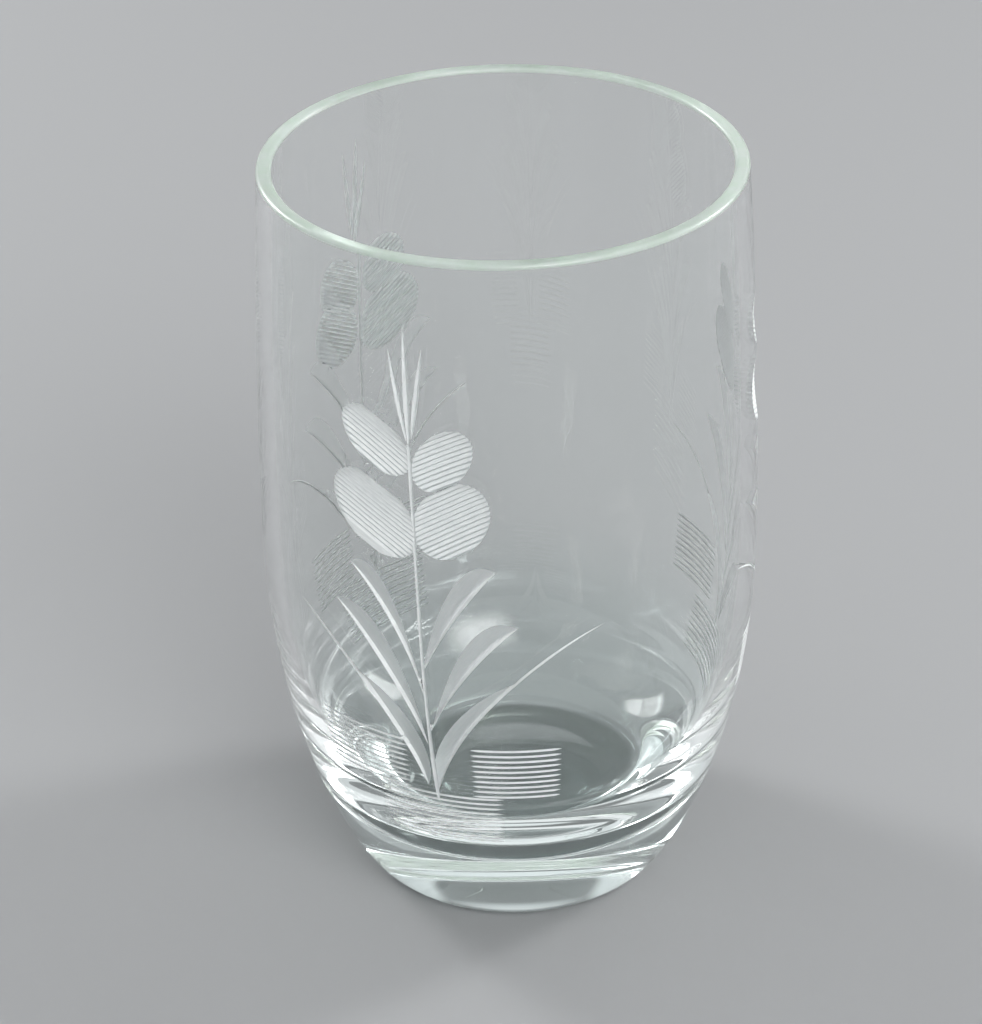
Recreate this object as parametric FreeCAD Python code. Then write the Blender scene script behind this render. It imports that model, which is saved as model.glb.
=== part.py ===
"""A cut-glass barrel tumbler. Millimetres, +Z up; the origin is the centre of the foot, on the table.

The tumbler is one piece of blown glass with a ground decoration. Its nodes are regions of that glass that
meet face to face: the solid base, the side wall, the rim, and the ground skins in the floors of the cuts.
"""

import FreeCAD
import Part

import math
import os

V = FreeCAD.Vector
AXIS = V(0, 0, 1)
ORIGIN = V(0, 0, 0)

# ---- Driving dimensions: the blown shape ----
HEIGHT = 130.0
RIM_RADIUS = 38.5
BELLY_RADIUS = 41.7
BELLY_HEIGHT = 61.5
RIM_LEAN = 0.077  # radial travel per unit of height where the wall meets the rim
LIP_THICKNESS = 2.4
LIP_ROUND = 0.7

FOOT_RADIUS = 25.5  # outer edge of the flat foot ring
FOOT_CORNER = 3.5
FOOT_CORNER_SWEEP = 56.0  # degrees from the table to where the side begins
PUNT_RADIUS = 19.5  # the hollow under the base
PUNT_DEPTH = 1.4

FLOOR_HEIGHT = 13.0  # thickness of glass under the drink
FLOOR_FLAT_RADIUS = 13.0
BELLY_WALL = 2.7

# ---- Driving dimensions: the cut decoration ----
FIRST_SPRAY_ANGLE = -111.0  # degrees about +Z from +X
CUT_DEPTH = 0.3
GROUND_SKIN = 0.4  # thickness of the ground skin in a cut's floor
OUTSIDE_CLEARANCE = 1.0  # how far a cutting tool stands off the glass
RIM_BAND = 2.0  # height of the fire-polished rim

# One spray lies on a map of the side: u is the distance round the belly from the spray's axis, z the height.
# The sprays are cut by hand to one pattern, so each has its own places.
# Petals: centre u, centre z, half length, half width, tilt of the long axis in degrees.
# Leaves: foot, tip, how far the spine bows, how much of the spine carries the blade, and the two handles of
# the blade's back edge. A handle is a fraction of the way from foot to tip and a distance from that line;
# distances and bows are positive to the left of the way from foot to tip.
# Buds at the top of the stem: foot, tip and half width. Stem: foot and top.
# Lines, patches of fine level lines between the sprays: middle u, half length, lowest line.
FRONT_SPRAY = {
    "petals": [
        (-6.5, 99.6, 6.9, 4.2, -36.0),
        (-7.0, 86.8, 8.5, 5.8, -38.0),
        (4.8, 97.9, 6.0, 4.0, 52.0),
        (6.1, 87.7, 7.2, 5.5, 55.0),
    ],
    "leaves": [
        ((1.0, 54.5), (-11.7, 76.8), -2.1, 1.0, (0.30, -2.8), (1.05, -8.5)),
        ((1.0, 60.0), (12.9, 79.2), 1.0, 1.0, (0.30, 3.0), (1.02, 7.6)),
        ((1.0, 45.0), (-15.0, 69.0), -2.1, 1.0, (0.30, -4.0), (0.92, -9.8)),
        ((1.7, 48.0), (16.3, 69.2), 1.6, 1.0, (0.30, 2.6), (0.95, 9.2)),
        ((0.3, 36.0), (-23.7, 64.9), -3.9, 0.60, (0.10, -6.5), (0.42, -9.5)),
        ((2.2, 35.5), (29.9, 68.1), 4.8, 0.60, (0.08, 6.5), (0.42, 9.5)),
    ],
    "buds": [
        ((-0.9, 100.5), (-3.9, 115.2), 0.45),
        ((-0.5, 99.0), (-1.3, 119.6), 0.50),
        ((-0.1, 101.0), (1.8, 116.0), 0.45),
    ],
    "stem": ((1.9, 32.6), (-0.5, 100.0)),
    "lines": [(1.9, 11.4, 24.0), (-11.9, 9.0, 34.8), (15.6, 7.5, 34.8)],
}
RIGHT_SPRAY = {
    "petals": [
        (-10.4, 102.9, 7.0, 4.3, -36.0),
        (-10.9, 90.8, 8.5, 5.7, -38.0),
        (0.9, 101.2, 6.0, 4.0, 52.0),
        (2.2, 91.4, 7.3, 5.6, 55.0),
    ],
    "leaves": [
        ((-0.8, 57.5), (-16.2, 82.0), -2.1, 1.0, (0.30, -2.8), (1.05, -8.5)),
        ((-1.1, 63.0), (7.7, 85.2), 1.0, 1.0, (0.30, 3.0), (1.02, 7.6)),
        ((-0.3, 47.5), (-19.0, 73.2), -2.1, 1.0, (0.30, -4.0), (0.92, -9.8)),
        ((0.2, 50.5), (12.2, 73.5), 1.6, 1.0, (0.30, 2.6), (0.95, 9.2)),
        ((-0.6, 38.1), (-26.7, 65.0), -3.9, 0.60, (0.10, -6.5), (0.42, -9.5)),
        ((1.7, 37.6), (23.3, 66.6), 4.8, 0.60, (0.08, 5.2), (0.42, 8.8)),
    ],
    "buds": [
        ((-4.8, 104.5), (-8.4, 119.0), 0.45),
        ((-4.4, 103.0), (-5.8, 123.4), 0.50),
        ((-4.0, 105.0), (-2.7, 120.0), 0.45),
    ],
    "stem": ((1.1, 35.1), (-4.4, 104.0)),
    "lines": [(1.1, 11.4, 26.3), (-13.8, 7.5, 38.0), (13.6, 7.5, 38.8)],
}
LEFT_SPRAY = {
    "petals": [
        (-4.2, 96.2, 5.6, 4.3, -50.0),
        (-4.9, 86.6, 7.6, 5.6, -52.0),
        (6.9, 94.6, 6.1, 5.2, 60.0),
        (8.3, 86.1, 6.5, 5.9, 60.0),
    ],
    "leaves": [
        ((1.3, 56.5), (-13.7, 82.9), -2.1, 1.0, (0.30, -2.8), (1.05, -8.5)),
        ((1.7, 62.5), (16.7, 82.4), 1.0, 1.0, (0.30, 3.0), (1.02, 7.6)),
        ((1.3, 46.5), (-14.8, 72.4), -2.1, 1.0, (0.30, -4.0), (0.92, -9.8)),
        ((2.1, 49.5), (19.7, 72.4), 1.6, 1.0, (0.30, 2.6), (0.95, 9.2)),
        ((0.4, 36.5), (-20.7, 68.5), -3.9, 0.60, (0.10, -6.5), (0.42, -9.5)),
        ((2.2, 35.5), (30.5, 67.5), 4.8, 0.60, (0.08, 6.5), (0.42, 9.5)),
    ],
    "buds": [
        ((1.2, 101.9), (-1.2, 116.4), 0.45),
        ((1.6, 100.4), (0.9, 120.9), 0.50),
        ((2.0, 102.4), (4.1, 118.9), 0.45),
    ],
    "stem": ((1.9, 33.0), (1.5, 101.4)),
    "lines": [(1.9, 11.4, 25.0), (-11.8, 7.5, 35.9), (14.5, 7.0, 35.9)],
}
SPRAYS = [FRONT_SPRAY, RIGHT_SPRAY, LEFT_SPRAY]
SPINE_HALF_WIDTH = 0.2
STEM_HALF_WIDTH = 0.28
LINES_IN_A_PATCH = 10
LINE_PITCH = 1.13
LINE_WIDTH = 0.45


def at(radius, height):
    """A point of the glass's section."""
    return V(radius, 0, height)


def bezier(*poles):
    curve = Part.BezierCurve()
    curve.setPoles(list(poles))
    return curve.toShape()


def arc(centre, radius, start, end):
    """An arc of the section, from one angle to another in degrees above +X."""
    points = []
    for angle in (start, (start + end) / 2, end):
        turn = math.radians(angle)
        points.append(centre + V(radius * math.cos(turn), 0, radius * math.sin(turn)))
    return Part.Arc(*points).toShape()


def line(start, end):
    return Part.LineSegment(start, end).toShape()


# ---- The section of the glass ----
def side_curves(shift=0.0):
    """The outside from the end of the foot's corner up to the rim, moved outwards by shift."""
    turn = math.radians(FOOT_CORNER_SWEEP)
    start = at(FOOT_RADIUS + FOOT_CORNER * math.sin(turn) + shift, FOOT_CORNER * (1 - math.cos(turn)))
    handle = 3.0
    belly = at(BELLY_RADIUS + shift, BELLY_HEIGHT)
    top = at(RIM_RADIUS + shift, HEIGHT - LIP_ROUND)
    lower = bezier(
        start,
        start + at(handle * math.cos(turn), handle * math.sin(turn)),
        belly - at(0, 37.5),
        belly,
    )
    upper = bezier(belly, belly + at(0, 11.5), top + at(28.0 * RIM_LEAN, -28.0), top)
    return [lower, upper]


def cavity_curves():
    """The inside from the rim down to the edge of the flat floor."""
    belly = at(BELLY_RADIUS - BELLY_WALL, BELLY_HEIGHT)
    top = at(RIM_RADIUS - LIP_THICKNESS, HEIGHT - LIP_ROUND)
    floor_edge = at(FLOOR_FLAT_RADIUS, FLOOR_HEIGHT)
    upper = bezier(top, top + at(28.0 * RIM_LEAN, -28.0), belly + at(0, 11.5), belly)
    lower = bezier(belly, belly - at(0, 33.0), floor_edge + at(17.5, 0), floor_edge)
    return [upper, lower]


def lip_curves():
    """The rounded lip, from the outside to the inside."""
    outer = at(RIM_RADIUS - LIP_ROUND, HEIGHT - LIP_ROUND)
    inner = at(RIM_RADIUS - LIP_THICKNESS + LIP_ROUND, HEIGHT - LIP_ROUND)
    up = V(0, 0, LIP_ROUND)
    return [arc(outer, LIP_ROUND, 0, 90), line(outer + up, inner + up), arc(inner, LIP_ROUND, 90, 180)]


def underside_curves():
    """The underside from the axis out to the side: the punt, the flat foot ring and the foot's corner."""
    sphere = (PUNT_RADIUS**2 + PUNT_DEPTH**2) / (2 * PUNT_DEPTH)
    half_angle = math.degrees(math.asin(PUNT_RADIUS / sphere))
    punt = arc(at(0, PUNT_DEPTH - sphere), sphere, 90, 90 - half_angle)
    ring = line(at(PUNT_RADIUS, 0), at(FOOT_RADIUS, 0))
    corner = arc(at(FOOT_RADIUS, FOOT_CORNER), FOOT_CORNER, -90, FOOT_CORNER_SWEEP - 90)
    return [punt, ring, corner]


def revolved(edges, angle=360):
    return Part.Face(Part.Wire(edges)).revolve(ORIGIN, AXIS, angle)


def whole_glass():
    floor = line(at(FLOOR_FLAT_RADIUS, FLOOR_HEIGHT), at(0, FLOOR_HEIGHT))
    middle = line(at(0, FLOOR_HEIGHT), at(0, PUNT_DEPTH))
    return revolved(
        underside_curves() + side_curves() + lip_curves() + cavity_curves() + [floor, middle]
    )


def slab(low, high):
    return Part.makeCylinder(2 * BELLY_RADIUS, high - low, V(0, 0, low))


def side_layer(outer, inner):
    """A layer that follows the side, between two distances outside (positive) or inside the glass."""
    outside = side_curves(outer)
    inside = side_curves(inner)
    low = line(inside[0].Vertexes[0].Point, outside[0].Vertexes[0].Point)
    high = line(outside[1].Vertexes[-1].Point, inside[1].Vertexes[-1].Point)
    return revolved([low] + outside + [high] + inside[::-1])


# ---- Shapes of the spray, drawn on the plane through the axis that faces the viewer of the spray ----
def on_plane(u, z):
    """A point of the map, seen square on: the spray's own frame has the viewer on -Y."""
    return V(BELLY_RADIUS * math.sin(u / BELLY_RADIUS), 0, z)


def pressed_in(edges):
    """The solid under a closed outline, pressed through the near side of the glass."""
    face = Part.Face(Part.Wire(edges))
    return face.extrude(V(0, -(BELLY_RADIUS + 2 * OUTSIDE_CLEARANCE), 0))


def petal(u, z, half_length, half_width, tilt):
    turn = math.radians(tilt)
    centre = on_plane(u, z)
    along = V(math.cos(turn), 0, math.sin(turn))
    across = V(-math.sin(turn), 0, math.cos(turn))
    oval = Part.Ellipse(centre + along * half_length, centre + across * half_width, centre)
    return pressed_in([oval.toShape()])


def beside_chord(foot, tip, fraction, offset):
    """A point of the map, part of the way from foot to tip and off to the left of that line."""
    run = V(tip[0] - foot[0], 0, tip[1] - foot[1])
    left = V(-run.z, 0, run.x).normalize()
    place = V(foot[0], 0, foot[1]) + run * fraction + left * offset
    return on_plane(place.x, place.z)


def bowed(foot, tip, bow):
    """A curve between two points of the map that bows to the left."""
    curve = Part.BezierCurve()
    handle = bow / 0.75
    places = [(0, 0), (0.3, handle), (0.75, handle), (1, 0)]
    curve.setPoles([beside_chord(foot, tip, *place) for place in places])
    return curve


def spindle(foot, tip, bow, half_width):
    edges = [bowed(foot, tip, bow + side * half_width).toShape() for side in (1, -1)]
    return pressed_in(edges)


def leaf(foot, tip, bow, reach, near_handle, far_handle):
    spine = bowed(foot, tip, bow)
    blade_end = spine.value(reach)
    near = beside_chord(foot, tip, *near_handle)
    far = beside_chord(foot, tip, *far_handle)
    back = bezier(on_plane(*foot), near, far, blade_end)
    blade = pressed_in([spine.toShape(0, reach), back])
    return blade.fuse(spindle(foot, tip, bow, SPINE_HALF_WIDTH))


def stem(foot, top):
    wide = V(STEM_HALF_WIDTH, 0, 0)
    low, high = on_plane(*foot), on_plane(*top)
    corners = [low - wide, low + wide, high + wide, high - wide]
    return pressed_in([line(a, b) for a, b in zip(corners, corners[1:] + corners[:1])])


def level_line(middle, half_length, height):
    """One line of a patch: a thin slab through the side, over a part of a turn."""
    half_angle = math.degrees(half_length / BELLY_RADIUS)
    inner = BELLY_RADIUS / 2
    outer = BELLY_RADIUS + OUTSIDE_CLEARANCE
    low = height - LINE_WIDTH / 2
    corners = [at(inner, low), at(outer, low), at(outer, low + LINE_WIDTH), at(inner, low + LINE_WIDTH)]
    sector = revolved([line(a, b) for a, b in zip(corners, corners[1:] + corners[:1])], 2 * half_angle)
    sector.rotate(ORIGIN, AXIS, math.degrees(middle / BELLY_RADIUS) - half_angle - 90)
    return sector


def fused(shapes):
    return shapes[0].multiFuse(shapes[1:]) if len(shapes) > 1 else shapes[0]


def spray_tools(spray):
    """The solids that the wheel sweeps for one spray, by node, clear of each other."""
    buds = [spindle(foot, tip, 0, half_width) for foot, tip, half_width in spray["buds"]]
    stems = fused([stem(*spray["stem"])] + buds)
    petals = fused([petal(*shape) for shape in spray["petals"]]).cut(stems)
    leaves = fused([leaf(*shape) for shape in spray["leaves"]]).cut(stems)
    lines = []
    for middle, half_length, lowest in spray["lines"]:
        for row in range(LINES_IN_A_PATCH):
            lines.append(level_line(middle, half_length, lowest + row * LINE_PITCH))
    level_lines = Part.makeCompound(lines).cut(Part.makeCompound([stems, leaves]))
    return {
        "cut_stems": stems,
        "cut_petals": petals,
        "cut_leaves": leaves,
        "cut_base_lines": level_lines,
    }


def at_its_place(shape, number):
    """The shape, turned to where that spray is on the glass."""
    turned = shape.copy()
    turned.rotate(ORIGIN, AXIS, FIRST_SPRAY_ANGLE + 90 + number * 360 / len(SPRAYS))
    return turned


def solids_of(shape):
    return Part.makeCompound(shape.Solids)


def build():
    glass = whole_glass()
    nodes = {
        "base": glass.common(slab(-1, FLOOR_HEIGHT)),
        "rim": glass.common(slab(HEIGHT - RIM_BAND, HEIGHT + 1)),
    }
    wall = glass.common(slab(FLOOR_HEIGHT, HEIGHT - RIM_BAND))
    removed = side_layer(OUTSIDE_CLEARANCE, -CUT_DEPTH - GROUND_SKIN)
    skin = side_layer(-CUT_DEPTH, -CUT_DEPTH - GROUND_SKIN)
    pockets = []
    grounds = {}
    for number, spray in enumerate(SPRAYS):
        for name, tool in spray_tools(spray).items():
            pockets.append(at_its_place(tool.common(removed), number))
            grounds.setdefault(name, []).extend(at_its_place(tool.common(skin), number).Solids)
    for name, solids in grounds.items():
        nodes[name] = Part.makeCompound(solids)
    nodes["wall"] = wall.cut(Part.makeCompound(pockets))
    return nodes


os.makedirs("parts", exist_ok=True)
for name, shape in build().items():
    solids = shape.Solids
    print(name, len(solids), "solid(s)", round(shape.Volume, 1), "mm3", "valid", shape.isValid())
    (solids[0] if len(solids) == 1 else solids_of(shape)).exportStep(f"parts/{name}.step")
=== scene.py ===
"""A cut-glass barrel tumbler in a plain pale studio, worked out in millimetres and built in metres."""
import math

import bmesh
import bpy
import numpy as np
from mathutils import Matrix, Vector
from mathutils.geometry import delaunay_2d_cdt


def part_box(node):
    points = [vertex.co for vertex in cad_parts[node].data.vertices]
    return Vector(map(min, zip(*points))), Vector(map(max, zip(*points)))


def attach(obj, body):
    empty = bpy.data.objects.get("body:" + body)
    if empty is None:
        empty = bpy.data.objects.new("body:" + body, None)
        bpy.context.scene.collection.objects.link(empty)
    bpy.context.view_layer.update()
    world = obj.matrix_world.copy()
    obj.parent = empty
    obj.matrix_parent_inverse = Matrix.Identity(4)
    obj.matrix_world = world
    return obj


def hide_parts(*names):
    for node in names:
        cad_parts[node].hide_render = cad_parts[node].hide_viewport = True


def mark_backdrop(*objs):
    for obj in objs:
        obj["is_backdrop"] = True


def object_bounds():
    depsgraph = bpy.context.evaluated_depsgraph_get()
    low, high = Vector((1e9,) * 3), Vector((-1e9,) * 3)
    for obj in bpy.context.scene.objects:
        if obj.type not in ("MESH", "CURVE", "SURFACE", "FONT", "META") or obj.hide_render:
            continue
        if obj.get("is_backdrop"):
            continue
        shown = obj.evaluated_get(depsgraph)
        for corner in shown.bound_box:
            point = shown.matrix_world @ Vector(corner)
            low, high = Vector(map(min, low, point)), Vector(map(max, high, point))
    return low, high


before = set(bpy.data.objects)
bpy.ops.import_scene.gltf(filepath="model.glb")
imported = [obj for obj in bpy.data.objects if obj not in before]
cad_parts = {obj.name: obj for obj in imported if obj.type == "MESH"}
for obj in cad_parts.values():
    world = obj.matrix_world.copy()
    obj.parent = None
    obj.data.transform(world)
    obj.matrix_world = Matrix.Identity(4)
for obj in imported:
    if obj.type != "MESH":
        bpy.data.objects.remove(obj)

MM = 0.001
cad_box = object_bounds()

# ---- Sizes from the frame, in millimetres ----
HEIGHT = cad_box[1][2] / MM
RIM_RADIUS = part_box("rim")[1][1] / MM
FLOOR_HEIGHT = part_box("base")[1][2] / MM

# ---- The blown shape, its lengths in millimetres ----
BELLY_RADIUS = 41.7
BELLY_HEIGHT = 61.5
RIM_LEAN = 0.077  # radial travel per unit of height where the wall meets the rim
LIP_THICKNESS = 2.4
LIP_ROUND = 0.7
FOOT_RADIUS = 25.5
FOOT_CORNER = 3.5
FOOT_CORNER_SWEEP = math.radians(56)
PUNT_RADIUS = 19.5
PUNT_DEPTH = 1.4
FLOOR_FLAT_RADIUS = 13.0
BELLY_WALL = 2.7

# Lengths of the handles that shape the side's curves; the rim's is measured in height
FOOT_HANDLE = 3
UNDER_BELLY_HANDLE = 37.5
OVER_BELLY_HANDLE = 11.5
RIM_HANDLE = 28
INSIDE_UNDER_BELLY_HANDLE = 33
INSIDE_FLOOR_HANDLE = 17.5

# ---- The mesh, in millimetres except where it says otherwise ----
FIRST_SPRAY = math.radians(-21)  # from straight ahead of the viewer at -Y
COLUMNS = 96  # round one third of the glass
ROW_STEP = 1.35
STEP = 0.6  # along a cut
GRID_CLEARANCE = 0.35  # how far the level rows' points keep from a cut's points
SNAP = 0.004  # points of the map closer than this are one
CURVE_POINTS = 400  # of a leaf's curves, before they are spaced out
WELD_REACH = 2e-6  # metres
CREASE = math.radians(24)
SECTOR = 2 * math.pi * BELLY_RADIUS / 3  # one third of the way round the belly


# ---- The section of the glass ----
def bezier(poles, count):
    t = np.linspace(0, 1, count)[:, None]
    a, b, c, d = np.array(poles, float)
    return (1 - t) ** 3 * a + 3 * (1 - t) ** 2 * t * b + 3 * (1 - t) * t**2 * c + t**3 * d


def arc(centre, radius, start, end, count):
    turn = np.linspace(start, end, count)
    return np.array(centre) + radius * np.stack([np.cos(turn), np.sin(turn)], axis=1)


def chain(*stretches):
    """Stretches that meet end to end, as one line of points."""
    return np.vstack([stretches[0]] + [s[1:] for s in stretches[1:]])


def side_section(count):
    turn = FOOT_CORNER_SWEEP
    start = np.array([FOOT_RADIUS + FOOT_CORNER * math.sin(turn), FOOT_CORNER * (1 - math.cos(turn))])
    heading = np.array([math.cos(turn), math.sin(turn)])
    belly = np.array([BELLY_RADIUS, BELLY_HEIGHT])
    top = np.array([RIM_RADIUS, HEIGHT - LIP_ROUND])
    under, over = belly - (0, UNDER_BELLY_HANDLE), belly + (0, OVER_BELLY_HANDLE)
    lower = bezier([start, start + FOOT_HANDLE * heading, under, belly], count)
    upper = bezier([belly, over, top + (RIM_HANDLE * RIM_LEAN, -RIM_HANDLE), top], count)
    return chain(lower, upper)


def cavity_section(count):
    belly = np.array([BELLY_RADIUS - BELLY_WALL, BELLY_HEIGHT])
    top = np.array([RIM_RADIUS - LIP_THICKNESS, HEIGHT - LIP_ROUND])
    floor_edge = np.array([FLOOR_FLAT_RADIUS, FLOOR_HEIGHT])
    under, over = belly - (0, INSIDE_UNDER_BELLY_HANDLE), belly + (0, OVER_BELLY_HANDLE)
    upper = bezier([top, top + (RIM_HANDLE * RIM_LEAN, -RIM_HANDLE), over, belly], count)
    lower = bezier([belly, under, floor_edge + (INSIDE_FLOOR_HANDLE, 0), floor_edge], count)
    floor = np.linspace(floor_edge, (0, FLOOR_HEIGHT), 7)
    return chain(upper, lower, floor)


def lip_section():
    outer = (RIM_RADIUS - LIP_ROUND, HEIGHT - LIP_ROUND)
    inner = (RIM_RADIUS - LIP_THICKNESS + LIP_ROUND, HEIGHT - LIP_ROUND)
    outside = arc(outer, LIP_ROUND, 0, math.pi / 2, 7)
    inside = arc(inner, LIP_ROUND, math.pi / 2, math.pi, 7)
    return np.vstack([outside, inside])


def underside_section():
    """From the axis out to where the side begins."""
    sphere = (PUNT_RADIUS**2 + PUNT_DEPTH**2) / (2 * PUNT_DEPTH)
    half = math.asin(PUNT_RADIUS / sphere)
    punt = arc((0, PUNT_DEPTH - sphere), sphere, math.pi / 2, math.pi / 2 - half, 16)
    ring = np.linspace((PUNT_RADIUS, 0), (FOOT_RADIUS, 0), 5)
    corner_end = FOOT_CORNER_SWEEP - math.pi / 2
    corner = arc((FOOT_RADIUS, FOOT_CORNER), FOOT_CORNER, -math.pi / 2, corner_end, 9)
    return chain(punt, ring, corner)


SIDE = side_section(200)
SIDE_SLOPE = np.gradient(SIDE[:, 0], SIDE[:, 1])


def on_glass(places, depth):
    """Points of the outside, cut in by depth. places are (distance round the belly, height)."""
    u, z = places[:, 0], places[:, 1]
    radius = np.interp(z, SIDE[:, 1], SIDE[:, 0])
    slope = np.interp(z, SIDE[:, 1], SIDE_SLOPE)
    lean = np.arctan(slope)
    radius = radius - depth * np.cos(lean)
    height = z + depth * np.sin(lean)
    turn = u / BELLY_RADIUS + FIRST_SPRAY
    return np.stack([radius * np.sin(turn), -radius * np.cos(turn), height], axis=1)


# ---- The sprays, each on a map of the side: u round the belly from the spray's axis, z the height ----
# They are cut by hand to one pattern, so each has its own places.
# Petals: centre, half length, half width, tilt, tilt of the ribs, share of the petal below its ribs.
# Leaves: foot, tip, bow of the spine, share of the spine with a blade, handles of the blade's back.
# Buds: foot, tip, half width. Stem: foot, top. Lines: middle u, half length, lowest line.
FRONT_SPRAY = {
    "petals": [
        ((-6.5, 99.6), 6.9, 4.2, -36, -28, 0.0),
        ((-7.0, 86.8), 8.5, 5.8, -38, -26, 0.12),
        ((4.8, 97.9), 6.0, 4.0, 52, 27, 0.0),
        ((6.1, 87.7), 7.2, 5.5, 55, 30, 0.0),
    ],
    "leaves": [
        ((1.0, 54.5), (-11.7, 76.8), -2.1, 1.0, (0.30, -2.8), (1.05, -8.5)),
        ((1.0, 60.0), (12.9, 79.2), 1.0, 1.0, (0.30, 3.0), (1.02, 7.6)),
        ((1.0, 45.0), (-15.0, 69.0), -2.1, 1.0, (0.30, -4.0), (0.92, -9.8)),
        ((1.7, 48.0), (16.3, 69.2), 1.6, 1.0, (0.30, 2.6), (0.95, 9.2)),
        ((0.3, 36.0), (-23.7, 64.9), -3.9, 0.60, (0.10, -6.5), (0.42, -9.5)),
        ((2.2, 35.5), (29.9, 68.1), 4.8, 0.60, (0.08, 6.5), (0.42, 9.5)),
    ],
    "buds": [
        ((-0.9, 100.5), (-3.9, 115.2), 0.45),
        ((-0.5, 99.0), (-1.3, 119.6), 0.50),
        ((-0.1, 101.0), (1.8, 116.0), 0.45),
    ],
    "stem": ((1.9, 32.6), (-0.5, 100.0)),
    "lines": [(1.9, 11.4, 24.0), (-11.9, 9.0, 34.8), (15.6, 7.5, 34.8)],
}
RIGHT_SPRAY = {
    "petals": [
        ((-10.4, 102.9), 7.0, 4.3, -36, -28, 0.0),
        ((-10.9, 90.8), 8.5, 5.7, -38, -26, 0.0),
        ((0.9, 101.2), 6.0, 4.0, 52, 27, 0.0),
        ((2.2, 91.4), 7.3, 5.6, 55, 28, 0.0),
    ],
    "leaves": [
        ((-0.8, 57.5), (-16.2, 82.0), -2.1, 1.0, (0.30, -2.8), (1.05, -8.5)),
        ((-1.1, 63.0), (7.7, 85.2), 1.0, 1.0, (0.30, 3.0), (1.02, 7.6)),
        ((-0.3, 47.5), (-19.0, 73.2), -2.1, 1.0, (0.30, -4.0), (0.92, -9.8)),
        ((0.2, 50.5), (12.2, 73.5), 1.6, 1.0, (0.30, 2.6), (0.95, 9.2)),
        ((-0.6, 38.1), (-26.7, 65.0), -3.9, 0.60, (0.10, -6.5), (0.42, -9.5)),
        ((1.7, 37.6), (23.3, 66.6), 4.8, 0.60, (0.08, 5.2), (0.42, 8.8)),
    ],
    "buds": [
        ((-4.8, 104.5), (-8.4, 119.0), 0.45),
        ((-4.4, 103.0), (-5.8, 123.4), 0.50),
        ((-4.0, 105.0), (-2.7, 120.0), 0.45),
    ],
    "stem": ((1.1, 35.1), (-4.4, 104.0)),
    "lines": [(1.1, 11.4, 26.3), (-13.8, 7.5, 38.0), (13.6, 7.5, 38.8)],
}
LEFT_SPRAY = {
    "petals": [
        ((-4.2, 96.2), 5.6, 4.3, -50, -33, 0.0),
        ((-4.9, 86.6), 7.6, 5.6, -52, -33, 0.0),
        ((6.9, 94.6), 6.1, 5.2, 60, 27, 0.0),
        ((8.3, 86.1), 6.5, 5.9, 60, 28, 0.0),
    ],
    "leaves": [
        ((1.3, 56.5), (-13.7, 82.9), -2.1, 1.0, (0.30, -2.8), (1.05, -8.5)),
        ((1.7, 62.5), (16.7, 82.4), 1.0, 1.0, (0.30, 3.0), (1.02, 7.6)),
        ((1.3, 46.5), (-14.8, 72.4), -2.1, 1.0, (0.30, -4.0), (0.92, -9.8)),
        ((2.1, 49.5), (19.7, 72.4), 1.6, 1.0, (0.30, 2.6), (0.95, 9.2)),
        ((0.4, 36.5), (-20.7, 68.5), -3.9, 0.60, (0.10, -6.5), (0.42, -9.5)),
        ((2.2, 35.5), (30.5, 67.5), 4.8, 0.60, (0.08, 6.5), (0.42, 9.5)),
    ],
    "buds": [
        ((1.2, 101.9), (-1.2, 116.4), 0.45),
        ((1.6, 100.4), (0.9, 120.9), 0.50),
        ((2.0, 102.4), (4.1, 118.9), 0.45),
    ],
    "stem": ((1.9, 33.0), (1.5, 101.4)),
    "lines": [(1.9, 11.4, 25.0), (-11.8, 7.5, 35.9), (14.5, 7.0, 35.9)],
}
SPRAYS = [FRONT_SPRAY, RIGHT_SPRAY, LEFT_SPRAY]

# How deep the wheel cuts, and how wide. Every cut's depth is measured square to the side.
PETAL_DISH = 0.6
RIB_PITCH = 0.76
RIB_RISE = 0.24
RIB_LEDGES = (0.48, 0.26)  # the share of a rib that faces down, in the lowest rib and in the highest
RIB_OVERRUN = 0.22  # how far a rib's groove runs past the dish, which gives the petal its pinked edge

LEAF_DEPTH = 0.6
SPINE_OUTER = 0.16
SPINE_INNER = 0.14
BRIGHT_EDGE = 0.12  # the share of a blade, beside its spine, that is ground dull

STEM_HALF_WIDTH = 0.26
LINES_IN_A_PATCH = 10
LINE_PITCH = 1.13
LINE_HALF_WIDTH = 0.24
STEM_DEPTH = 0.34
BUD_DEPTH = 0.4
LINE_DEPTH = 0.2

CLEAR, RIM, GROUND, LEDGE, VEIL = range(5)  # the finishes, in the order of the glass's materials


class Cut:
    """One cut of the wheel: lines of points with their depths, the outline, the wheel's way across it as a
    tilt, and the depth and the finish at any place."""

    def __init__(self, lines, outline, way, depth_at, finish_at=None):
        self.lines = lines
        self.way = way
        self.outline = outline
        self.depth_at = depth_at
        self.finish_at = finish_at or (lambda places: np.full(len(places), GROUND))

    def holds(self, places):
        """Which of the places lie inside the outline."""
        low, high = self.outline.min(0), self.outline.max(0)
        near = np.all((places >= low) & (places <= high), axis=1)
        inside = np.zeros(len(places), bool)
        if not near.any():
            return inside
        x, y = places[near, 0], places[near, 1]
        odd = np.zeros(len(x), bool)
        ends = np.roll(self.outline, -1, axis=0)
        for (x0, y0), (x1, y1) in zip(self.outline, ends):
            if y0 != y1:
                crosses = (y0 > y) != (y1 > y)
                odd ^= crosses & (x < x0 + (y - y0) / (y1 - y0) * (x1 - x0))
        inside[near] = odd
        return inside


def deepest(cuts, places):
    """The depth of the deepest of the cuts at each place, 0 where there is none."""
    depth = np.zeros(len(places))
    for cut in cuts:
        inside = cut.holds(places)
        if inside.any():
            depth[inside] = np.maximum(depth[inside], cut.depth_at(places[inside]))
    return depth


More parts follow.
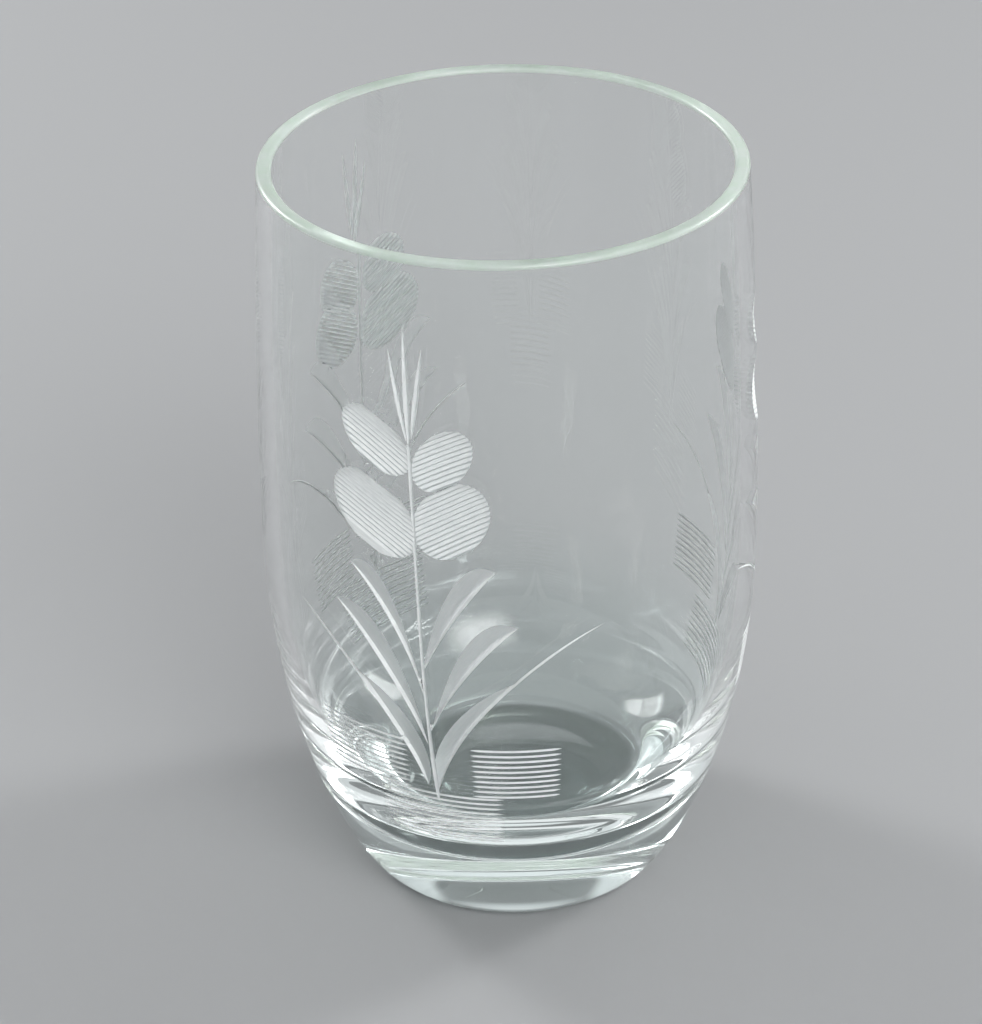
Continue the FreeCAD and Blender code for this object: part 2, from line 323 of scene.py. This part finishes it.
def spaced(length):
    return max(4, int(round(length / STEP)) + 1)


def petal(centre, half_length, half_width, tilt, rib_tilt, plain_share):
    """A dished oval with saw-tooth ribs. v is the distance across the ribs, w the distance along them."""
    centre = np.array(centre)
    tilt, rib_tilt = math.radians(tilt), math.radians(rib_tilt)
    skew = rib_tilt - tilt
    along = np.array([math.cos(rib_tilt), math.sin(rib_tilt)])
    across = np.array([-along[1], along[0]])
    reach = math.hypot(half_length * math.sin(skew), half_width * math.cos(skew))

    def rise(w, v):
        """1 at the petal's middle, 0 on its edge."""
        x = w * math.cos(skew) - v * math.sin(skew)
        y = w * math.sin(skew) + v * math.cos(skew)
        return 1 - (x / half_length) ** 2 - (y / half_width) ** 2

    def chord(v):
        """Where the line across the petal at v begins and ends."""
        a = (math.cos(skew) / half_length) ** 2 + (math.sin(skew) / half_width) ** 2
        b = v * math.sin(skew) * math.cos(skew) * (half_width**-2 - half_length**-2)
        c = (v * math.sin(skew) / half_length) ** 2 + (v * math.cos(skew) / half_width) ** 2 - 1
        root = math.sqrt(max(b * b - a * c, 0))
        return (-b - root) / a, (-b + root) / a

    def ribbed(v):
        return v > -reach + 2 * reach * plain_share

    def ledge(number):
        return np.interp(number * RIB_PITCH, (-reach, reach), RIB_LEDGES)

    def rib(v):
        """Each rib is a broad face that looks up and a narrow ledge above it that looks down."""
        number = np.floor(v / RIB_PITCH)
        share = v / RIB_PITCH - number
        narrow = ledge(number)
        return RIB_RISE * np.minimum(share / (1 - narrow), (1 - share) / narrow) * ribbed(v)

    def finish_at(places):
        v = (places - centre) @ across
        number = np.floor(v / RIB_PITCH)
        # The ledges take the ledge finish, whose darker colour is painted shade in the grooves between the
        # ribs.
        on_ledge = v / RIB_PITCH - number > 1 - ledge(number)
        return np.where(on_ledge & ribbed(v), LEDGE, GROUND)

    def depth_at(places):
        w, v = (places - centre) @ along, (places - centre) @ across
        dish = np.clip(rise(w, v), 0, 1)
        return PETAL_DISH * dish + rib(v) * np.minimum(1, 4 * dish)

    lines = []
    starts, finishes = [], []
    ribs = int(reach / RIB_PITCH) + 1
    for number in range(-ribs, ribs + 1):
        for share in (0, 1 - ledge(number)):
            v = (number + share) * RIB_PITCH
            if abs(v) > 0.985 * reach:
                continue
            first, last = chord(v)
            if share and ribbed(v):
                first, last = first - RIB_OVERRUN, last + RIB_OVERRUN
            w = np.linspace(first, last, spaced(last - first))
            places = centre + np.outer(w, along) + np.outer(np.full(len(w), v), across)
            depths = depth_at(places)
            depths[[0, -1]] = 0
            lines.append((places, depths))
            starts.append(places[0])
            finishes.append(places[-1])
    outline = np.array(finishes + starts[::-1])
    return Cut(lines, outline, rib_tilt, depth_at, finish_at)


def bowed_poles(foot, tip, bow):
    """A curve that bows to the left of the way from foot to tip."""
    handle = bow / 0.75
    return [beside_chord(foot, tip, *place) for place in ((0, 0), (0.3, handle), (0.75, handle), (1, 0))]


def beside_chord(foot, tip, fraction, offset):
    foot, tip = np.array(foot), np.array(tip)
    run = tip - foot
    left = np.array([-run[1], run[0]]) / np.hypot(*run)
    return foot + run * fraction + left * offset


def left_of(points):
    """Unit normals to the left of a line of points."""
    way = np.gradient(points, axis=0)
    return np.stack([-way[:, 1], way[:, 0]], axis=1) / np.linalg.norm(way, axis=1)[:, None]


def nearest_on(points, places):
    """For each place, the index of the nearest of the points and the distance to it."""
    gaps = np.linalg.norm(places[:, None, :] - points[None, :, :], axis=2)
    index = gaps.argmin(axis=1)
    return index, gaps[np.arange(len(places)), index]


def eased(t, rise, fall):
    """1 along the middle of a cut, rising over its first share and falling over its last."""
    return np.clip(np.minimum(t / rise, (1 - t) / fall), 0, 1)


def leaf(foot, tip, bow, reach, near_handle, far_handle):
    """A mitre cut: a steep bright edge along the spine and a broad blade that runs out to the back."""
    side = math.copysign(1, bow)
    count = spaced(math.dist(foot, tip))
    t = np.linspace(0, 1, count)
    spine = bezier(bowed_poles(foot, tip, bow), count)
    outward = -side * left_of(spine)
    taper = eased(t, 0.08, 0.25) ** 0.6
    outer = spine + outward * (SPINE_OUTER * taper)[:, None]
    valley = spine - outward * (SPINE_INNER * taper)[:, None]
    fine = bezier(bowed_poles(foot, tip, bow), CURVE_POINTS)
    blade_end = fine[int(reach * (CURVE_POINTS - 1))]
    near, far = beside_chord(foot, tip, *near_handle), beside_chord(foot, tip, *far_handle)
    fine_back = bezier([foot, near, far, blade_end], CURVE_POINTS)
    share = np.clip(t / reach, 0, 1)
    fine_t = np.linspace(0, 1, CURVE_POINTS)
    back = np.stack([np.interp(share, fine_t, fine_back[:, k]) for k in (0, 1)], axis=1)
    tail = valley - outward * (SPINE_INNER * taper)[:, None]
    back = np.where((share < 1)[:, None], back, tail)
    deep = LEAF_DEPTH * eased(t, 0.15, 0.45) ** 0.7
    none = np.zeros(count)
    lines = [(outer, none), (valley, deep)]
    for fraction in (BRIGHT_EDGE, 0.5):
        lines.append((valley + (back - valley) * fraction, deep * (1 - fraction)))
    lines.append((back, none))
    outline = np.vstack([outer, back[::-1]])

    def depth_at(places):
        index, gap = nearest_on(valley, places)
        width = np.linalg.norm(back - valley, axis=1)[index]
        return deep[index] * np.clip(1 - gap / np.maximum(width, 0.1), 0, 1)

    def finish_at(places):
        index, gap = nearest_on(valley, places)
        width = np.linalg.norm(back - valley, axis=1)[index]
        on_spine = np.sum((places - valley[index]) * outward[index], axis=1) > 0
        bright = on_spine | (gap < BRIGHT_EDGE * width) | (t[index] >= reach)
        return np.where(bright, GROUND, VEIL)

    way = math.atan2(tip[1] - foot[1], tip[0] - foot[0])
    return Cut(lines, outline, way, depth_at, finish_at)


def groove(foot, tip, half_widths, depths):
    """A straight V groove; half_widths and depths are given along it."""
    foot, tip = np.array(foot), np.array(tip)
    count = len(depths)
    middle = np.linspace(foot, tip, count)
    run = tip - foot
    left = np.array([-run[1], run[0]]) / np.hypot(*run)
    edges = [middle + np.outer(side * half_widths, left) for side in (1, -1)]
    none = np.zeros(count)
    outline = np.vstack([edges[0], edges[1][::-1]])

    def depth_at(places):
        share = np.clip((places - foot) @ run / (run @ run), 0, 1) * (count - 1)
        off = np.abs((places - foot) @ left)
        width = np.interp(share, np.arange(count), half_widths)
        deep = np.interp(share, np.arange(count), depths)
        return deep * np.clip(1 - off / np.maximum(width, 0.02), 0, 1)

    lines = [(edges[0], none), (middle, depths), (edges[1], none)]
    return Cut(lines, outline, math.atan2(run[1], run[0]), depth_at)


def stem(foot, tip):
    """A thin groove that swells near its foot and just under the buds."""
    count = spaced(math.dist(foot, tip))
    t = np.linspace(0, 1, count)
    swell = 1 + 0.5 * np.exp(-(((t - 0.12) / 0.1) ** 2)) + 0.3 * np.exp(-(((t - 0.95) / 0.1) ** 2))
    taper = np.clip(t / 0.02, 0.05, 1)
    return groove(foot, tip, STEM_HALF_WIDTH * swell * taper, STEM_DEPTH * swell * taper)


def bud(foot, tip, half_width):
    count = spaced(math.dist(foot, tip))
    t = np.linspace(0, 1, count)
    swell = np.sin(math.pi * t**0.9) ** 0.8
    swell[[0, -1]] = 0.03
    return groove(foot, tip, half_width * swell, BUD_DEPTH * swell)


def level_line(middle, half_length, height):
    count = spaced(2 * half_length)
    t = np.linspace(-1, 1, count)
    taper = np.clip((1 - np.abs(t)) / 0.12, 0.05, 1)
    foot, tip = (middle - half_length, height), (middle + half_length, height)
    return groove(foot, tip, LINE_HALF_WIDTH * taper, LINE_DEPTH * taper)


def cuts_of(spray):
    cuts = [petal(*shape) for shape in spray["petals"]]
    cuts += [leaf(*shape) for shape in spray["leaves"]]
    cuts += [bud(*shape) for shape in spray["buds"]]
    cuts.append(stem(*spray["stem"]))
    for middle, half_length, lowest in spray["lines"]:
        for row in range(LINES_IN_A_PATCH):
            cuts.append(level_line(middle, half_length, lowest + row * LINE_PITCH))
    return cuts


# ---- The outside of one third of the glass, meshed round its cuts ----
def side_rows():
    """Heights of the level rows of points, evenly spaced along the side."""
    low, high = SIDE[0, 1], SIDE[-1, 1]
    run = np.concatenate([[0], np.cumsum(np.linalg.norm(np.diff(SIDE, axis=0), axis=1))])
    rows = int(run[-1] / ROW_STEP)
    heights = np.interp(np.linspace(0, run[-1], rows), run, SIDE[:, 1])
    heights[[0, -1]] = low, high
    return heights


def mesh_of_sector(cuts):
    """Places, depths, triangles, each triangle's finish, and the grain at each triangle's corners."""
    places, depths, edges = [], [], []
    for cut in cuts:
        others = [other for other in cuts if other is not cut]
        loops = cut.lines + [(cut.outline, np.zeros(len(cut.outline)))]
        for k, (points, deep) in enumerate(loops):
            start = len(places)
            places += list(points)
            depths += list(np.maximum(deep, deepest(others, points)))
            edges += [(start + i, start + i + 1) for i in range(len(points) - 1)]
            if k == len(loops) - 1:
                edges.append((start + len(points) - 1, start))
    columns = np.linspace(-SECTOR / 2, SECTOR / 2, COLUMNS + 1)
    heights = side_rows()
    grid = np.array([(u, z) for z in heights for u in columns])
    border = np.isin(grid[:, 0], columns[[0, -1]]) | np.isin(grid[:, 1], heights[[0, -1]])
    taken = np.zeros(len(grid), bool)
    marks = np.array(places)
    for cut in cuts:
        taken |= cut.holds(grid)
    for block in np.array_split(np.arange(len(grid)), 40):  # in turn, to keep the tables of gaps small
        gaps = np.abs(grid[block][:, None, :] - marks[None, :, :]).max(axis=2)
        taken[block] |= gaps.min(axis=1) < GRID_CLEARANCE
    grid = grid[border | ~taken]
    depths += [0.0] * len(grid)
    places = np.vstack([marks, grid])
    vectors = [Vector(p) for p in places]
    found, _, faces, sources, _, _ = delaunay_2d_cdt(vectors, edges, [], 0, SNAP)
    found = np.array([v[:] for v in found])
    deep = np.zeros(len(found))
    for k, source in enumerate(sources):
        if source:
            deep[k] = max(depths[s] for s in source)
    crossings = np.array([k for k, source in enumerate(sources) if not source], int)
    if len(crossings):
        deep[crossings] = deepest(cuts, found[crossings])
    faces = np.array(faces)
    middles = found[faces].mean(axis=1)
    finish = np.full(len(faces), CLEAR)
    grain = np.zeros((len(faces), 3, 3))
    for cut in cuts:
        inside = cut.holds(middles)
        finish[inside] = cut.finish_at(middles[inside])
        c, s = math.cos(cut.way), math.sin(cut.way)
        grain[inside, :, :2] = found[faces[inside]] @ np.array([[c, -s], [s, c]])
    return found, deep, faces, finish, grain


def turned(points, angle):
    c, s = math.cos(angle), math.sin(angle)
    return points @ np.array([[c, s, 0], [-s, c, 0], [0, 0, 1]])


def lathe(section, start_turn):
    """Points and faces of a section turned about the axis, with poles closed by triangles."""
    columns = COLUMNS * len(SPRAYS)
    turn = start_turn + np.arange(columns) * 2 * math.pi / columns
    points, rows = [], []
    for radius, height in section:
        if radius < 1e-6:
            rows.append([len(points)] * columns)
            points.append((0, 0, height))
        else:
            rows.append(list(range(len(points), len(points) + columns)))
            points += [(radius * math.sin(a), -radius * math.cos(a), height) for a in turn]
    faces = []
    for low, high in zip(rows, rows[1:]):
        for k in range(columns):
            n = (k + 1) % columns
            ring = [low[k], low[n], high[n], high[k]]
            faces.append([v for i, v in enumerate(ring) if v != ring[i - 1]])
    return np.array(points, float), faces


# ---- Materials ----
GLASS_IOR = 1.52
BASE_TINT = (0.88, 0.965, 0.95)
WALL_TINT = (0.98, 0.992, 0.988)
TINT_HEIGHTS = (0.8 * FLOOR_HEIGHT, 3.5 * FLOOR_HEIGHT)  # where the base's tint begins to fade and is gone
RIM_MOTTLE = (350, 350, 350)  # a metre
STREAKS = (0.5, 5, 1)  # a millimetre, along and across the wheel's way
NOISE_SPREAD = (0.35, 0.65)  # the part of the noise that is stretched over the whole way from dull to bright


def material(name):
    made = bpy.data.materials.new(name)
    made.use_nodes = True
    return made, made.node_tree.nodes, made.node_tree.links


def step(nodes, links, value, zero_at, one_at):
    """A smooth step of a value, from 0 at zero_at to 1 at one_at."""
    ramp = nodes.new("ShaderNodeMapRange")
    ramp.interpolation_type = "SMOOTHSTEP"
    ramp.inputs["From Min"].default_value = zero_at
    ramp.inputs["From Max"].default_value = one_at
    links.new(value, ramp.inputs["Value"])
    return ramp.outputs["Result"]


def clear_glass():
    """Soda-lime glass: hardly tinted in the thin wall, sea-green where the base is thick."""
    made, nodes, links = material("clear_glass")
    shader = nodes["Principled BSDF"]
    shader.inputs["Transmission Weight"].default_value = 1
    shader.inputs["IOR"].default_value = GLASS_IOR
    shader.inputs["Roughness"].default_value = 0.0
    place = nodes.new("ShaderNodeTexCoord")
    split = nodes.new("ShaderNodeSeparateXYZ")
    links.new(place.outputs["Object"], split.inputs[0])
    thin = step(nodes, links, split.outputs["Z"], TINT_HEIGHTS[0] * MM, TINT_HEIGHTS[1] * MM)
    tint = nodes.new("ShaderNodeMix")
    tint.data_type = "RGBA"
    tint.inputs["A"].default_value = (*BASE_TINT, 1)
    tint.inputs["B"].default_value = (*WALL_TINT, 1)
    links.new(thin, tint.inputs["Factor"])
    links.new(tint.outputs["Result"], shader.inputs["Base Color"])
    return made


def wavering(nodes, links, place, scale, dull, bright):
    """Links the shader's colour to fine noise, between two colours. Returns the noise, from 0 to 1."""
    shader = nodes["Principled BSDF"]
    stretch = nodes.new("ShaderNodeVectorMath")
    stretch.operation = "MULTIPLY"
    stretch.inputs[1].default_value = scale
    links.new(place, stretch.inputs[0])
    noise = nodes.new("ShaderNodeTexNoise")
    noise.inputs["Scale"].default_value = 1
    noise.inputs["Detail"].default_value = 3
    links.new(stretch.outputs[0], noise.inputs["Vector"])
    strength = nodes.new("ShaderNodeMapRange")
    strength.inputs["From Min"].default_value = NOISE_SPREAD[0]
    strength.inputs["From Max"].default_value = NOISE_SPREAD[1]
    links.new(noise.outputs[0], strength.inputs["Value"])
    tint = nodes.new("ShaderNodeMix")
    tint.data_type = "RGBA"
    tint.inputs["A"].default_value = (*dull, 1)
    tint.inputs["B"].default_value = (*bright, 1)
    links.new(strength.outputs["Result"], tint.inputs["Factor"])
    links.new(tint.outputs["Result"], shader.inputs["Base Color"])
    return strength.outputs["Result"]


def rim_glass():
    """The lip is faintly mottled, and dulled by wear."""
    made, nodes, links = material("rim_glass")
    shader = nodes["Principled BSDF"]
    shader.inputs["Transmission Weight"].default_value = 0.75
    shader.inputs["IOR"].default_value = GLASS_IOR
    shader.inputs["Roughness"].default_value = 0.3
    place = nodes.new("ShaderNodeTexCoord").outputs["Object"]
    wavering(nodes, links, place, RIM_MOTTLE, (0.76, 0.91, 0.77), (0.84, 0.95, 0.86))
    return made


def wheel_cut(name, transmission, dull, bright, roughness):
    """Glass that the wheel has ground, with fine streaks along the wheel's way."""
    made, nodes, links = material(name)
    shader = nodes["Principled BSDF"]
    shader.inputs["Transmission Weight"].default_value = transmission
    shader.inputs["IOR"].default_value = GLASS_IOR
    grain = nodes.new("ShaderNodeAttribute")
    grain.attribute_name = "grain"
    strength = wavering(nodes, links, grain.outputs["Vector"], STREAKS, dull, bright)
    rough = nodes.new("ShaderNodeMapRange")
    rough.inputs["To Min"].default_value = roughness[0]
    rough.inputs["To Max"].default_value = roughness[1]
    links.new(strength, rough.inputs["Value"])
    links.new(rough.outputs["Result"], shader.inputs["Roughness"])
    return made


def ground_glass():
    """The wheel leaves most of a cut white and dull."""
    dull, bright = (0.78, 0.81, 0.81), (0.91, 0.935, 0.93)
    return wheel_cut("ground_glass", 0.25, dull, bright, roughness=(0.8, 0.95))


def shaded_ledge_glass():
    """The wheel hardly grinds the ledges between the ribs, so they stay clearer, and their darker colour is
    painted shade in the grooves between the ribs.
    """
    # Darker than the ground glass: painted shade for the grooves between the ribs.
    dull, bright = (0.66, 0.71, 0.71), (0.82, 0.87, 0.87)
    return wheel_cut("shaded_ledge_glass", 0.8, dull, bright, roughness=(0.3, 0.45))


def veil_glass():
    """The blades of the leaves are polished almost clear."""
    dull, bright = (0.86, 0.9, 0.9), (0.98, 0.99, 0.99)
    return wheel_cut("veil_glass", 0.8, dull, bright, roughness=(0.3, 0.6))


# ---- The glass ----
def build_glass():
    points, faces, kinds, grains = [], [], [], []
    for k, spray in enumerate(SPRAYS):
        places, deep, triangles, finish, grain = mesh_of_sector(cuts_of(spray))
        start = sum(len(p) for p in points)
        points.append(turned(on_glass(places, deep), k * 2 * math.pi / len(SPRAYS)))
        faces += (triangles + start).tolist()
        kinds += finish.tolist()
        grains.append(grain.reshape(-1))
    seam = FIRST_SPRAY - math.pi / len(SPRAYS)
    for section, kind in ((underside_section(), CLEAR), (lip_section(), RIM), (cavity_section(40), CLEAR)):
        start = sum(len(p) for p in points)
        ring, ring_faces = lathe(section, seam)
        points.append(ring)
        faces += [[v + start for v in face] for face in ring_faces]
        kinds += [kind] * len(ring_faces)
    mesh = bpy.data.meshes.new("glass")
    mesh.from_pydata((np.vstack(points) * MM).tolist(), [], faces)
    mesh.polygons.foreach_set("material_index", kinds)
    wheel = mesh.attributes.new("grain", "FLOAT_VECTOR", "CORNER")
    along_corners = np.zeros(3 * len(mesh.loops))
    cut_corners = np.concatenate(grains)
    along_corners[: len(cut_corners)] = cut_corners
    wheel.data.foreach_set("vector", along_corners)
    weld(mesh)
    glass = bpy.data.objects.new("glass", mesh)
    bpy.context.scene.collection.objects.link(glass)
    for made in (clear_glass(), rim_glass(), ground_glass(), shaded_ledge_glass(), veil_glass()):
        mesh.materials.append(made)
    sharpen(mesh)
    return glass


def weld(mesh):
    """Joins the three thirds, the lip, the inside and the underside into one closed surface."""
    work = bmesh.new()
    work.from_mesh(mesh)
    bmesh.ops.remove_doubles(work, verts=work.verts, dist=WELD_REACH)
    bmesh.ops.recalc_face_normals(work, faces=work.faces)
    work.to_mesh(mesh)
    work.free()


def sharpen(mesh):
    """Smooth shading, with a crease where a cut meets the polished glass and along the cuts' valleys."""
    mesh.polygons.foreach_set("use_smooth", [True] * len(mesh.polygons))
    mesh.set_sharp_from_angle(angle=CREASE)
    sides = {}
    for polygon in mesh.polygons:
        for key in polygon.edge_keys:
            sides.setdefault(key, set()).add(polygon.material_index)
    for edge in mesh.edges:
        if len(sides[edge.key]) > 1:
            edge.use_edge_sharp = True


glass = build_glass()
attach(glass, "root")
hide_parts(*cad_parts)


# ---- The studio, in metres and watts ----
FLOOR_COLOUR = (0.26, 0.263, 0.267)
FLOOR_REACH = 1.1
SWEEP_RADIUS = 0.25
BACKDROP_TOP = 0.45
AIR_UNDER_FOOT = 0.0002  # without it the foot would have no surface of its own to mirror in

# Lamps: place, size, power. Each is turned to face the middle of the glass.
LAMPS = {
    "key_box": ((0.42, -0.91, 0.95), (1.2, 0.9), 32),
    "left_strip": ((-0.75, 0.62, 0.5), (0.3, 0.8), 22),
    "right_strip": ((0.9, 0.35, 0.5), (0.3, 0.8), 22),
}
LAMP_EDGE = (0.5, 0.1)  # distances from a lamp's middle, as shares of its size: dark outside, full inside

TENT_COLOUR = (0.96, 0.985, 1)
TENT_SIDE = 0.72  # strength on the level
TENT_TOP = 0.95  # strength overhead
PANEL_LEVEL = 0.2  # strength of the grey panel
PANEL_HALF_WIDTH = 0.45  # over its distance
PANEL_TOP = 0.74  # the sine of its elevation
PANEL_TOP_BLUR = 0.03
PANEL_SIDE_BLUR = (-0.04, 0.06)
OVERHEAD = (0.3, 1.0)  # the sines of the elevations between which the tent brightens


def floor():
    """A round floor that sweeps up into a low backdrop all the way round."""
    turn = np.linspace(0, math.pi / 2, 12)
    section = [(0, 0), (0.02, 0)]
    section += [(FLOOR_REACH + SWEEP_RADIUS * math.sin(a), SWEEP_RADIUS * (1 - math.cos(a))) for a in turn]
    section.append((FLOOR_REACH + SWEEP_RADIUS, BACKDROP_TOP))
    points, faces = lathe(section, 0)
    mesh = bpy.data.meshes.new("floor")
    mesh.from_pydata((points - (0, 0, AIR_UNDER_FOOT)).tolist(), [], faces)
    mesh.polygons.foreach_set("use_smooth", [True] * len(mesh.polygons))
    made, nodes, links = material("pale_floor")
    shader = nodes["Principled BSDF"]
    shader.inputs["Base Color"].default_value = (*FLOOR_COLOUR, 1)
    shader.inputs["Roughness"].default_value = 0.8
    shader.inputs["Specular IOR Level"].default_value = 0.2
    mesh.materials.append(made)
    stage = bpy.data.objects.new("floor", mesh)
    bpy.context.scene.collection.objects.link(stage)
    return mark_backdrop(stage)


def maths(nodes, links, operation, *values):
    """A Math node of numbers or sockets, and its result."""
    node = nodes.new("ShaderNodeMath")
    node.operation = operation
    for socket, value in zip(node.inputs, values):
        if isinstance(value, (int, float)):
            socket.default_value = value
        else:
            links.new(value, socket)
    return node.outputs[0]


def lamp(name, place, size, power):
    """A softbox that fades towards its edges."""
    light = bpy.data.lights.new(name, "AREA")
    light.shape = "RECTANGLE"
    light.size, light.size_y = size
    light.energy = power
    light.use_nodes = True
    nodes, links = light.node_tree.nodes, light.node_tree.links
    across = nodes.new("ShaderNodeNewGeometry")
    split = nodes.new("ShaderNodeSeparateXYZ")
    links.new(across.outputs["Parametric"], split.inputs[0])
    fades = []
    for axis in ("X", "Y"):
        centred = maths(nodes, links, "SUBTRACT", split.outputs[axis], 0.5)
        off_middle = maths(nodes, links, "ABSOLUTE", centred)
        fades.append(step(nodes, links, off_middle, *LAMP_EDGE))
    both = maths(nodes, links, "MULTIPLY", *fades)
    links.new(both, nodes["Emission"].inputs["Strength"])
    holder = bpy.data.objects.new(name, light)
    holder.location = place
    aim = Vector((0, 0, HEIGHT * MM / 2)) - Vector(place)
    holder.rotation_euler = aim.to_track_quat("-Z", "Y").to_euler()
    bpy.context.scene.collection.objects.link(holder)


def tent():
    """The pale tent over the floor: bright all round, with a grey panel at the back."""
    world = bpy.data.worlds.new("tent")
    bpy.context.scene.world = world
    world.use_nodes = True
    nodes, links = world.node_tree.nodes, world.node_tree.links
    way = nodes.new("ShaderNodeTexCoord")
    split = nodes.new("ShaderNodeSeparateXYZ")
    links.new(way.outputs["Generated"], split.inputs[0])
    sideways = maths(nodes, links, "ABSOLUTE", split.outputs["X"])
    behind = maths(nodes, links, "MULTIPLY", split.outputs["Y"], PANEL_HALF_WIDTH)
    beside = maths(nodes, links, "SUBTRACT", sideways, behind)
    off_side = step(nodes, links, beside, *PANEL_SIDE_BLUR)
    height = split.outputs["Z"]
    over_top = step(nodes, links, height, PANEL_TOP - PANEL_TOP_BLUR, PANEL_TOP + PANEL_TOP_BLUR)
    off_panel = maths(nodes, links, "MAXIMUM", off_side, over_top)
    overhead = step(nodes, links, height, *OVERHEAD)
    bright = maths(nodes, links, "MULTIPLY_ADD", overhead, TENT_TOP - TENT_SIDE, TENT_SIDE)
    level = nodes.new("ShaderNodeMix")
    level.data_type = "FLOAT"
    level.inputs["A"].default_value = PANEL_LEVEL
    links.new(bright, level.inputs["B"])
    links.new(off_panel, level.inputs["Factor"])
    dome = nodes["Background"]
    dome.inputs["Color"].default_value = (*TENT_COLOUR, 1)
    links.new(level.outputs["Result"], dome.inputs["Strength"])


def studio():
    floor()
    tent()
    for name, (place, size, power) in LAMPS.items():
        lamp(name, place, size, power)


# ---- The camera: where it stands in metres, and how it is turned ----
CAMERA_BACK = 0.3840
CAMERA_UP = 0.2999
CAMERA_LENS = 93.68
CAMERA_PITCH = math.radians(31.458)
CAMERA_YAW = math.radians(-0.467)
CAMERA_ROLL = math.radians(1.352)


def camera():
    forward = Vector(
        (
            math.sin(CAMERA_YAW) * math.cos(CAMERA_PITCH),
            math.cos(CAMERA_YAW) * math.cos(CAMERA_PITCH),
            -math.sin(CAMERA_PITCH),
        )
    )
    level = Vector((math.cos(CAMERA_YAW), -math.sin(CAMERA_YAW), 0))
    down = forward.cross(level)
    right = level * math.cos(CAMERA_ROLL) + down * math.sin(CAMERA_ROLL)
    up = level * math.sin(CAMERA_ROLL) - down * math.cos(CAMERA_ROLL)
    eye = bpy.data.cameras.new("camera")
    eye.lens = CAMERA_LENS
    eye.clip_start = 0.01
    holder = bpy.data.objects.new("camera", eye)
    turn = Matrix((right, up, -forward)).transposed()
    holder.matrix_world = Matrix.Translation((0, -CAMERA_BACK, CAMERA_UP)) @ turn.to_4x4()
    bpy.context.scene.collection.objects.link(holder)
    bpy.context.scene.camera = holder


studio()
camera()

# Light goes round inside the thick base many times before it leaves.
bpy.context.scene.cycles.max_bounces = 48
bpy.context.scene.cycles.glossy_bounces = 40
bpy.context.scene.cycles.transmission_bounces = 40
bpy.context.scene.view_settings.view_transform = "Standard"
